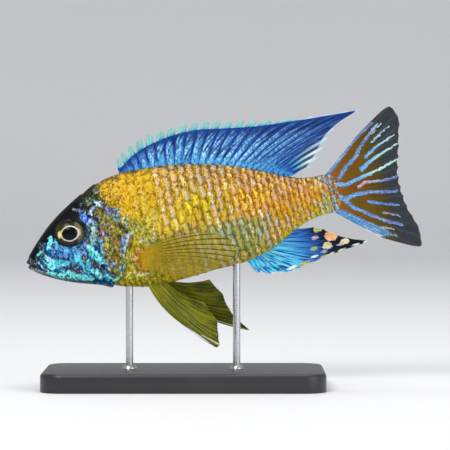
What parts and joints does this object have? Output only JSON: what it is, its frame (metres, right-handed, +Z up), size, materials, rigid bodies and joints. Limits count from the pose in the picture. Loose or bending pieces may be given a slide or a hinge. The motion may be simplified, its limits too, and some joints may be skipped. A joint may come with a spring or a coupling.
{
  "type": "peacock cichlid model",
  "caption": "Still model of an adult male peacock cichlid, nose down with its fins spread, held over a flat foot by upright rods.",
  "frame": {"origin": "centre of the underside of the stand's foot, on the surface that it stands on", "axes": "+X from the fish's head towards its tail, +Y from its left side towards its right, +Z up"},
  "size_m": [0.1262, 0.046, 0.0899],
  "materials": {
    "skin_head": "wet skin, blue-green with turquoise spots",
    "skin_body": "wet scales, golden yellow",
    "eye": "clear gloss",
    "fin_blue": "thin fin skin, royal blue",
    "fin_tail": "thin fin skin, orange-brown with blue rays",
    "fin_clear": "thin translucent fin skin, olive yellow",
    "stand_foot": "satin black",
    "stand_rod": "brushed"
  },
  "bodies": {
    "root": {"head": "skin_head", "lower_jaw": "skin_head", "gill_cover_left": "skin_head", "gill_cover_right": "skin_head", "trunk": "skin_body", "tail_stalk": "skin_body", "eye_left": "eye", "eye_right": "eye", "dorsal_fin": "fin_blue", "anal_fin": "fin_blue", "tail_fin": "fin_tail", "pectoral_fin_left": "fin_clear", "pectoral_fin_right": "fin_clear", "pelvic_fin_left": "fin_clear", "pelvic_fin_right": "fin_clear", "stand_foot": "stand_foot", "stand_rod_front": "stand_rod", "stand_rod_rear": "stand_rod"}
  },
  "joints": []
}
